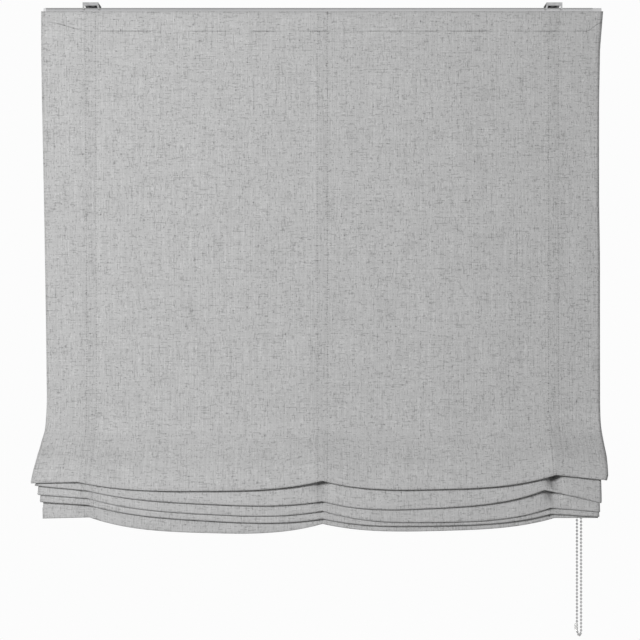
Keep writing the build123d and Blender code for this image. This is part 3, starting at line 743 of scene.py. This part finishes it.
def fold_points(x, level, before):
    """One fold and the crest behind it. before is the point that leads to the fold."""
    reach, hang, sags = folds[level]
    y = sheet_y - reach
    low = top_ring - along_blind(x, hang, sags, level)
    front, back = (y - fold_radius, low + fold_radius), (y + fold_radius, low + fold_radius)
    bottom = [front, (y - fold_flat, low), (y + fold_flat, low), back]
    forward = along_blind(x, (edge_forward, 0, 0, 0, edge_forward), (bay_forward, bay_forward))
    crest = sheet_y - crest_forward + level * crest_back_step - forward
    sag = along_blind(x, (edge_droop, 0, 0, 0, edge_droop), (crest_sag, crest_sag))
    top = top_ring - level * crest_step - sag
    rise = (crest - crest_mm, top - crest_mm)
    over = [rise, (crest, top), (crest + crest_mm, top - crest_mm)]
    lead_in = counted_points([shoulder(before, front, x)], [shoulder_steps]) if level else []
    lead_out = counted_points([shoulder(rise, back, x)], [shoulder_steps])
    return lead_in + counted_points(bottom, fold_steps) + lead_out + counted_points(over, crest_steps)


print("points in a fold", len(fold_points(x_columns, 1, sheet_points(x_columns)[-1])))

# %% [markdown]
# Behind the last crest the cloth falls to its hem, whose edge is turned up at the back. There is no
# bar in it, so it sags between the tapes as the folds do. With the hem the section is whole: one list
# of points for all columns at once, which is much faster than a loop over them.

# %% The whole section, down to the hem
above_hem_steps = 7
hem_steps = (2, 2, 4, 0)


def section_points(x):
    """For each place x, the points (y, z) of the section in mm, and how many steps lead to the next."""
    points = sheet_points(x)
    for level in range(len(folds)):
        points += fold_points(x, level, points[-1])
    hem = (sheet_y - hem_reach, top_ring - along_blind(x, hem_hang, hem_sag))
    points += counted_points([shoulder(points[-1], hem, x)], [above_hem_steps])
    points += counted_points([(hem[0] + back, hem[1] + up) for back, up in hem_edge], hem_steps)
    return [(np.broadcast_to(y, x.shape), np.broadcast_to(z, x.shape), steps) for y, z, steps in points]


section = section_points(x_columns)
step_counts = [point[2] for point in section]
print("points in a section", len(section), "rows of mesh", 1 + sum(step_counts))

# %% [markdown]
# Straight lines between these points would leave corners in the cloth, so a spline goes through them.
# A plain spline swings wide where a long stretch meets a short one. This kind spaces its steps by the
# square root of each distance, which keeps it close to the points and free of loops.

# %% A soft curve through the points of each section
def soft_curve(points):
    """A centripetal spline through the points of all sections at once: rows x columns x (y, z)."""
    line = np.stack([np.stack(point[:2], axis=-1) for point in points])
    # One more point at each end, so that the first and last stretch have neighbours too
    line = np.concatenate([2 * line[:1] - line[1:2], line, 2 * line[-1:] - line[-2:-1]])
    rows = []
    for index, count in enumerate(step_counts[:-1]):
        p0, p1, p2, p3 = line[index:index + 4]
        pairs = ((p0, p1), (p1, p2), (p2, p3))
        spacing = [np.sqrt(np.linalg.norm(b - a, axis=-1, keepdims=True)) for a, b in pairs]
        t1, t2, t3 = np.cumsum(spacing, axis=0)
        for step in range(count):
            t = t1 + (t2 - t1) * step / count
            a1 = (t1 - t) / t1 * p0 + t / t1 * p1
            a2 = (t2 - t) / (t2 - t1) * p1 + (t - t1) / (t2 - t1) * p2
            a3 = (t3 - t) / (t3 - t2) * p2 + (t - t2) / (t3 - t2) * p3
            b1 = (t2 - t) / t2 * a1 + t / t2 * a2
            b2 = (t3 - t) / (t3 - t1) * a2 + (t - t1) / (t3 - t1) * a3
            rows.append((t2 - t) / (t2 - t1) * b1 + (t - t1) / (t2 - t1) * b2)
    rows.append(line[-2])
    return np.stack(rows)


sheet_yz = soft_curve(section) * mm
run = np.linalg.norm(np.diff(sheet_yz, axis=0), axis=-1)
length_down = np.concatenate([np.zeros((1, columns)), np.cumsum(run, axis=0)])
sheet_length = float(length_down[-1].mean())
lengths = (length_down[-1].min(), sheet_length, length_down[-1].max())
print("shortest, mean and longest way down the cloth in mm", [round(float(value) / mm) for value in lengths])

# %% [markdown]
# The sides of the real cloth aren't quite straight: they draw in a little half way down, where the
# edge curls back, and spread again over the folds. A straight edge would make the blind look like a
# board. So each side has a short table of half widths by height, and the change fades out quickly
# towards the middle.

# %% The sides draw in and spread, in millimetres
# Height and half width, from the top down
left_side = ((5, 480.3), (-60, 480), (-147, 478.7), (-317, 475.3), (-420, 473.6), (-522, 471.9),
             (-659, 470.2), (-693, 471.7), (-710, 473), (-730, 477), (-751, 480), (-771, 484.5),
             (-792, 488.3))
right_side = ((5, 479), (-60, 473.6), (-147, 472), (-317, 472), (-420, 473.6), (-660, 473.6),
              (-693, 474.2), (-710, 475.3), (-730, 476.7), (-751, 478.2), (-782, 478.5), (-792, 476))
# Half widths at each fold's bottom and the crest behind it in turn, and last at the hem
folded_left = (487.8, 476, 484, 474, 481, 474, 478, 473, 475)
folded_right = (476, 470, 468, 466, 468, 466, 468, 465, 468)
first_bottom = len(sheet_points(x_columns)) + 2
side_power = 8


def side_place(table, folded, heights):
    """Half width of one side, row by row: by height above the folds, and then from fold to crest."""
    table_heights, widths = np.array(table).T
    by_height = np.interp(-heights / mm, -table_heights, widths)
    first_row = sum(step_counts[:first_bottom])
    turns = np.linspace(first_row, len(heights) - 1, len(folded))
    row_numbers = np.arange(len(heights))
    return np.where(row_numbers < first_row, by_height, np.interp(row_numbers, turns, folded))


left_in = side_place(left_side, folded_left, sheet_yz[:, 0, 1]) * mm - half_width
right_in = side_place(right_side, folded_right, sheet_yz[:, -1, 1]) * mm - half_width
share_out = x_columns / half_width
near_side = np.abs(share_out) ** side_power
spread = np.where(share_out < 0, -near_side * left_in[:, None], near_side * right_in[:, None])
sheet = np.empty((*sheet_yz.shape[:2], 3))
sheet[:, :, 0] = x_columns + spread
sheet[:, :, 1:] = sheet_yz
print("widest row in mm", round(float(np.ptp(sheet[:, :, 0], axis=1).max()) / mm, 1))

# %% [markdown]
# Hanging cloth is never quite flat. Slow waves run down it with smaller ones between them, and light
# from the side shows both. A sculpted ripple would have to be done again for another width, so two
# layers of noise move each point a little. The sewn tapes and the rail keep it flat where they hold it.

# %% The sheet ripples faintly
# Waves in a metre across and down, and the slice of noise that they are taken from
slow_waves = (5.0, 1.6, 3.7)
quick_waves = (19.0, 5.0, 9.1)
slow_depth = 2.0 * mm
quick_depth = 0.8 * mm
stiff_reach = 16 * mm
held_length = 120 * mm


def waves_at(x, s, waves):
    """Noise at x across the cloth and s down it."""
    across, down, noise_slice = waves
    return noise.noise(Vector((x * across, s * down, noise_slice)))


def ripple(x, s):
    """How far the cloth stands back at x across it and s down it, in metres."""
    stiff = max(math.exp(-((x - at) / stiff_reach) ** 4) for at in tape_xs.values())
    return (1 - stiff) * (waves_at(x, s, slow_waves) * slow_depth + waves_at(x, s, quick_waves) * quick_depth)


for row in range(sheet.shape[0]):
    free = min(length_down[row].mean() / held_length, 1.0)
    for column in range(columns):
        sheet[row, column, 1] += free * ripple(x_columns[column], length_down[row, column])
print("cloth rows and columns", sheet.shape[:2], "front", round(sheet[:, :, 1].min() / mm, 1))

# %% [markdown]
# A real sheet has two faces and an edge. Both faces could be drawn, but they would have to be kept apart by
# hand, so the surface gets its 0.8 mm of thickness from a modifier.

# %% Build the cloth and hang it
cloth_thickness = 0.8 * mm
row_length = np.broadcast_to(length_down.mean(axis=1, keepdims=True), length_down.shape)
flat_place = np.stack([np.broadcast_to(x_columns, length_down.shape), row_length], axis=-1)
cloth = place("linen_cloth", grid_mesh("linen_cloth", sheet, flat_place), linen_finish)
thick = cloth.modifiers.new("thickness", "SOLIDIFY")
thick.thickness = cloth_thickness
thick.offset = 0.0
apply_modifiers(cloth)
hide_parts("blind_cloth")
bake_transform(cloth)
print("cloth faces", len(cloth.data.polygons))

# %% [markdown]
# ## Tapes and cords
# A tape is a woven ribbon sewn down the back of the cloth at each cord. A flat strip would poke
# through wherever the cloth isn't flat, so each tape takes its rows from the cloth's own rows and lies
# just behind them.

# %% Tapes
sewn_gap = 0.1 * mm
tape_columns = 7
rows_z = sheet_yz[:, columns // 2, 1]


def tape(side):
    """One lift tape, from the rail down to the stack."""
    low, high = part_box(f"lift_tape_{side}")
    thickness = high.y - low.y
    behind = cloth_thickness / 2 + sewn_gap + thickness / 2
    rows = np.flatnonzero((rows_z < high.z) & (rows_z > low.z))
    points = np.empty((len(rows), tape_columns, 3))
    points[:, :, 0] = np.linspace(low.x, high.x, tape_columns)
    for index, row in enumerate(rows):
        points[index, :, 1] = np.interp(points[index, :, 0], x_columns, sheet[row, :, 1]) + behind
        points[index, :, 2] = rows_z[row]
    piece = place(f"tape_{side}", grid_mesh(f"tape_{side}", points), tape_finish)
    sewn = piece.modifiers.new("thickness", "SOLIDIFY")
    sewn.thickness = thickness
    sewn.offset = 0.0
    apply_modifiers(piece)
    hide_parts(f"lift_tape_{side}")
    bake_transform(piece)
    return piece


tapes = [tape(side) for side in tape_xs]
print("tapes", [piece.name for piece in tapes])

# %% [markdown]
# A lift cord is braided and less than a millimetre thick. It leaves its spool, drops through every
# ring and ends in its stop. A bevelled curve would make it too, but it would have to be turned into a
# mesh in the end. A ring of points carried along a line gives the same tube, and one helper closes
# its ends.

# %% A round tube along a line
def close_ends(mesh):
    """Fill the open ends of a turned or drawn form and face everything outward."""
    work = bmesh.new()
    work.from_mesh(mesh)
    bmesh.ops.holes_fill(work, edges=[edge for edge in work.edges if edge.is_boundary])
    bmesh.ops.recalc_face_normals(work, faces=work.faces)
    work.to_mesh(mesh)
    work.free()
    return mesh


def tube(name, line, radius, sides=8):
    """A round tube along a line of points, with closed ends."""
    line = np.asarray(line)
    along = np.gradient(line, axis=0)
    along /= np.linalg.norm(along, axis=1, keepdims=True)
    lies_in_x = np.abs(along[:, :1]) > 0.9
    side_way = np.cross(along, np.where(lies_in_x, [[0.0, 1.0, 0.0]], [[1.0, 0.0, 0.0]]))
    side_way /= np.linalg.norm(side_way, axis=1, keepdims=True)
    up_way = np.cross(side_way, along)
    angles = np.linspace(0, 2 * math.pi, sides, endpoint=False)
    rings = line[:, None] + radius * (np.cos(angles)[None, :, None] * side_way[:, None]
                                      + np.sin(angles)[None, :, None] * up_way[:, None])
    return close_ends(grid_mesh(name, rings, wrap=True))


trial = tube("trial", [(0, 0, height) for height in range(3)], 1.0)
print("a tube of 3 rings has", len(trial.polygons), "faces with its ends")
bpy.data.meshes.remove(trial)

# %% [markdown]
# The turns on a spool lie side by side, so the wound part of the cord is a helix round the shaft, and
# the rest is a straight drop. They could be two pieces, but then the joint would show. So one line of
# points starts at the far turn, arrives over the rings and runs on down to the stop.

# %% Cords
cord_radius = 0.45 * mm
wound_radius = 8.05 * mm
turns_wound = 17
turn_pitch = 1.05 * mm
steps_in_a_turn = 28
steps_in_the_drop = 140
drop_below_shaft = 2 * mm
end_above_stop = 1 * mm
# The turns lie to the right of the left and middle tape, and to the left of the right one
spool_ways = {"left": 1, "centre": 1, "right": -1}


def cord_line(side):
    """The line of one cord, from its far turn on the spool down to its stop."""
    line = []
    for step in range(turns_wound * steps_in_a_turn, -1, -1):
        turn = step / steps_in_a_turn
        angle = 2 * math.pi * turn
        line.append((tape_xs[side] + spool_ways[side] * turn * turn_pitch,
                     shaft_y - wound_radius * math.cos(angle), shaft_z + wound_radius * math.sin(angle)))
    stop_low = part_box(f"cord_stop_{side}")[0].z
    drop = np.linspace(shaft_z - drop_below_shaft, stop_low + end_above_stop, steps_in_the_drop)
    return line + [(tape_xs[side], cord_y, z) for z in drop]


def lift_cord(side):
    """One lift cord, from its far turn on the spool down to its stop."""
    piece = place(f"cord_{side}", tube(f"cord_{side}", cord_line(side), cord_radius), cord_finish)
    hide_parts(f"lift_cord_{side}")
    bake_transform(piece)
    return piece


cord_y = shaft_y - wound_radius
cords = [lift_cord(side) for side in tape_xs]
print("cord faces", [len(piece.data.polygons) for piece in cords])

# %% [markdown]
# ## The ball chain
# The chain is a string of plated steel balls, each crimped over a link of wire, 6 mm apart. It goes
# over the wheel, down, round its own bottom bend and up again, and the loop has turned a little about
# the vertical by the time it hangs free. A curve modifier could bend a straight chain into this loop,
# but it would stretch the balls, so each ball gets its own place instead.

# %% Where the balls are
bead_pitch = 6.0 * mm
pockets = 10
wheel_radius = bead_pitch / 2 / math.sin(math.pi / pockets)
drop_pitches = 174
loop_twist = math.radians(12.0)
twist_share = 0.45
chain_low, chain_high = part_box("bead_chain")
chain_x = (chain_low.x + chain_high.x) / 2


def loop_place(angle, below, twist):
    """The matrix of one ball: its angle round a bend, its depth and the loop's twist there."""
    middle = Matrix.Translation((chain_x, shaft_y, shaft_z - below)) @ Matrix.Rotation(twist, 4, "Z")
    y, z = -wheel_radius * math.cos(angle), wheel_radius * math.sin(angle)
    return middle @ Matrix.Translation((0, y, z)) @ Matrix.Rotation(-angle, 4, "X")


def twist_at(pitches):
    """How far the loop has turned, so many pitches below the wheel."""
    share = min(pitches / (twist_share * drop_pitches), 1.0)
    return loop_twist * share * share * (3 - 2 * share)


def chain_places():
    """Every ball in turn: over the wheel, down, round the bottom bend and up again."""
    step = 2 * math.pi / pockets
    half = pockets // 2
    drop = drop_pitches * bead_pitch
    places = [loop_place(index * step, 0.0, 0.0) for index in range(half + 1)]
    places += [loop_place(math.pi, index * bead_pitch, twist_at(index)) for index in range(1, drop_pitches)]
    places += [loop_place(math.pi + index * step, drop, loop_twist) for index in range(half + 1)]
    rising = range(drop_pitches - 1, 0, -1)
    return places + [loop_place(0.0, index * bead_pitch, twist_at(index)) for index in rising]


balls_at = chain_places()
joined_pair = (pockets // 2 + drop_pitches - 1, pockets // 2 + drop_pitches)
print("balls round the loop", len(balls_at))

# %% [markdown]
# One ball and one link are made once, as small template meshes, and their points are copied to each
# place. Several hundred separate objects would look the same but would be slow to handle, and the
# chain is one piece on the real blind too.

# %% Balls and links
ball_radius = 2.2 * mm
link_radius = 0.6 * mm
ball_columns, ball_rows = 14, 9
link_sides = 6


def repeated(name, parts):
    """One mesh from small template meshes, each copied to its own list of places."""
    points, faces = [], []
    for template, places in parts:
        shape = np.array([(*vertex.co, 1.0) for vertex in template.verts])
        corners = [[vertex.index for vertex in face.verts] for face in template.faces]
        for here in places:
            first = len(points)
            points += (shape @ np.array(here).T)[:, :3].tolist()
            faces += [[first + corner for corner in face] for face in corners]
        template.free()
    mesh = bpy.data.meshes.new(name)
    mesh.from_pydata(points, [], faces)
    mesh.polygons.foreach_set("use_smooth", [True] * len(mesh.polygons))
    mesh.update()
    return mesh


def chain_mesh(name, places, left_out):
    """A link from each place to the next, and a ball at each place that isn't left out."""
    ball = bmesh.new()
    bmesh.ops.create_uvsphere(ball, u_segments=ball_columns, v_segments=ball_rows, radius=ball_radius)
    link = bmesh.new()
    bmesh.ops.create_cone(link, cap_ends=False, segments=link_sides,
                          radius1=link_radius, radius2=link_radius, depth=1)
    links = []
    for here, after in zip(places, places[1:] + places[:1]):
        start, end = here.translation, after.translation
        turn = (end - start).to_track_quat("Z", "Y").to_matrix().to_4x4()
        long = Matrix.Diagonal((1, 1, (end - start).length, 1))
        links.append(Matrix.Translation((start + end) / 2) @ turn @ long)
    balls = [here for index, here in enumerate(places) if index not in left_out]
    return repeated(name, [(ball, balls), (link, links)])


chain = place("ball_chain", chain_mesh("ball_chain", balls_at, joined_pair), bead_finish)
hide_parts("bead_chain")
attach(chain, "headrail")
print("chain faces", len(chain.data.polygons))

# %% [markdown]
# The clip that joins the chain's ends is a milky barrel as long as two balls, which it hides. It draws
# in at the ends and has a waist half way. It is round and the same at both ends, so half a profile,
# mirrored and turned about the vertical, makes it.

# %% The clip on the chain
clip_low, clip_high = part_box("chain_connector")
clip_centre = (clip_low + clip_high) / 2
clip_radius = (clip_high.x - clip_low.x) / 2
clip_half = (clip_high.z - clip_low.z) / 2
mouth_radius = 0.9 * mm
lip_radius = 2.2 * mm
lip_height = 0.2 * mm
barrel_from_end = 1.6 * mm
waist_height = 1.4 * mm
waist_depth = 0.7 * mm
lower_half = [(mouth_radius, -clip_half), (lip_radius, lip_height - clip_half),
              (clip_radius, barrel_from_end - clip_half), (clip_radius, -waist_height)]
upper_half = [(radius, -height) for radius, height in reversed(lower_half)]
clip_profile = [*lower_half, (clip_radius - waist_depth, 0.0), *upper_half]


def turned(name, profile, centre, segments=28):
    """A closed turned form: profile is (radius, height) from the bottom up, on a vertical axis."""
    angles = np.linspace(0, 2 * math.pi, segments, endpoint=False)
    points = [[(centre.x + radius * math.cos(angle), centre.y + radius * math.sin(angle), centre.z + height)
               for angle in angles] for radius, height in profile]
    return close_ends(grid_mesh(name, np.array(points), wrap=True))


clip = place("chain_clip", turned("chain_clip", clip_profile, clip_centre), clear_finish)
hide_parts("chain_connector")
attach(clip, "headrail")
print("clip height in mm", round(2 * clip_half / mm, 1))

# %% [markdown]
# ## Floor, light and camera
# A blind hangs well above the floor, so a pale disc lies far below it, clear of its lowest position.
# A floor right under it would throw light up into the folds and flatten them.

# %% Floor
floor_z = -2.3
floor_radius = 1.1
floor_sides = 96
floor_finish = Recipe("pale_floor", (0.86, 0.86, 0.86), 0.9).material
floor_mesh = bpy.data.meshes.new("floor")
work = bmesh.new()
bmesh.ops.create_circle(work, cap_ends=True, segments=floor_sides, radius=floor_radius,
                        matrix=Matrix.Translation((0, 0, floor_z)))
work.to_mesh(floor_mesh)
work.free()
floor = place("floor", floor_mesh, floor_finish)
print("floor below the lowest chain in mm", round((chain_low.z - floor_z) / mm))

# %% [markdown]
# In a room most of the even light comes from the sides, and less from above and below. Lamps all round
# could give it. The world is simpler: its brightness follows the height of the direction that light
# comes from, through a ramp with a few stops.

# %% The world's light, by height
# Stops from straight down, 0, over level, 0.5, to straight up, 1, and how bright the world is there
light_by_height = ((0.0, 0.05), (0.46, 0.22), (0.54, 0.36), (0.75, 0.13), (1.0, 0.05))
world = bpy.data.worlds.new("studio")
bpy.context.scene.world = world
world.use_nodes = True
sky = world.node_tree
way = sky.nodes.new("ShaderNodeTexCoord")
height = sky.nodes.new("ShaderNodeSeparateXYZ")
sky.links.new(way.outputs["Generated"], height.inputs[0])
share_up = sky.nodes.new("ShaderNodeMapRange")
share_up.inputs["From Min"].default_value = -1.0
sky.links.new(height.outputs["Z"], share_up.inputs["Value"])
even = sky.nodes.new("ShaderNodeValToRGB")
while len(even.color_ramp.elements) < len(light_by_height):
    even.color_ramp.elements.new(0.5)
for stop, (place_up, light) in zip(even.color_ramp.elements, light_by_height):
    stop.position = place_up
    stop.color = (light, light, light, 1)
sky.links.new(share_up.outputs["Result"], even.inputs["Fac"])
print("stops in the world's light", len(even.color_ramp.elements))

# %% [markdown]
# The picture has a white background, which so dim a world wouldn't give, and a brighter one would wash
# out the cloth. So the world is white only for rays from the camera, and for those that metal and
# clear plastic send on, and keeps its low light for everything else.

# %% White where the camera looks
background_white = 0.974
path = sky.nodes.new("ShaderNodeLightPath")
seen = path.outputs["Is Camera Ray"]
for ray in ("Is Glossy Ray", "Is Transmission Ray"):
    either = sky.nodes.new("ShaderNodeMath")
    either.operation = "MAXIMUM"
    sky.links.new(seen, either.inputs[0])
    sky.links.new(path.outputs[ray], either.inputs[1])
    seen = either.outputs[0]
strength = sky.nodes.new("ShaderNodeMix")
strength.data_type = "FLOAT"
sky.links.new(seen, strength.inputs["Factor"])
sky.links.new(even.outputs["Color"], strength.inputs["A"])
strength.inputs["B"].default_value = background_white
backdrop = sky.nodes["Background"]
backdrop.inputs["Color"].default_value = (1, 1, 1, 1)
sky.links.new(strength.outputs["Result"], backdrop.inputs["Strength"])
print("world nodes", len(sky.nodes))

# %% [markdown]
# Folds only show when light comes from one side. A wide soft lamp at the front left makes the left of
# the cloth a little lighter than the right, and each fold throws a thin shadow on the next. A sun
# would throw hard ones. The lamp behind only serves the views from the back. Both are hidden from
# metal, where they would show as burnt spots.

# %% Lamps
cloth_middle = (0.0, -0.04, -0.45)
left_of_middle = (-0.1, -0.04, -0.45)


def soft_lamp(name, location, aim, energy, width, height):
    """A soft rectangular lamp that metal doesn't mirror."""
    data = bpy.data.lights.new(name, "AREA")
    data.shape = "RECTANGLE"
    data.size = width
    data.size_y = height
    data.energy = energy
    lamp = bpy.data.objects.new(name, data)
    bpy.context.scene.collection.objects.link(lamp)
    lamp.location = location
    lamp.visible_glossy = False
    lamp.rotation_mode = "QUATERNION"
    lamp.rotation_quaternion = (Vector(aim) - Vector(location)).to_track_quat("-Z", "Y")
    return lamp


front_lamp = soft_lamp("front_lamp", (-1.45, -3.05, 0.15), left_of_middle,
                       energy=102.0, width=1.6, height=0.4)
back_lamp = soft_lamp("back_lamp", (0.9, 2.9, 0.4), cloth_middle,
                      energy=60.0, width=1.6, height=1.6)
print("lamps", front_lamp.data.energy, back_lamp.data.energy)

# %% [markdown]
# The camera stands straight in front and level with the middle of the picture, as the photo's did. It
# could be moved by eye until the pictures agree. But the picture is 640 pixels wide and one pixel is
# 1.7067 mm in the plane of the cloth, and that gives the width which the lens must take in.

# %% Camera
pixel = 1.7067 * mm
picture_pixels = 640
# In pixels: the blind's middle line and the rail's top edge in the picture
zero_x, top_y = 322.5, 7.8
camera_distance = 2.8
sensor_width = 36.0
farthest_seen = 50
middle = picture_pixels / 2
camera_data = bpy.data.cameras.new("camera")
camera_data.sensor_width = sensor_width
camera_data.lens = sensor_width * camera_distance / (picture_pixels * pixel)
camera_data.clip_end = farthest_seen
camera = bpy.data.objects.new("camera", camera_data)
bpy.context.scene.collection.objects.link(camera)
centre_x = (middle - zero_x) * pixel
centre_z = rail_high.z - (middle - top_y) * pixel
camera.location = (centre_x, cloth_y - camera_distance, centre_z)
camera.rotation_euler = (math.pi / 2, 0, 0)
bpy.context.scene.camera = camera
bpy.context.scene.view_settings.view_transform = "Standard"
print("lens in mm", round(camera_data.lens, 1))

# %% [markdown]
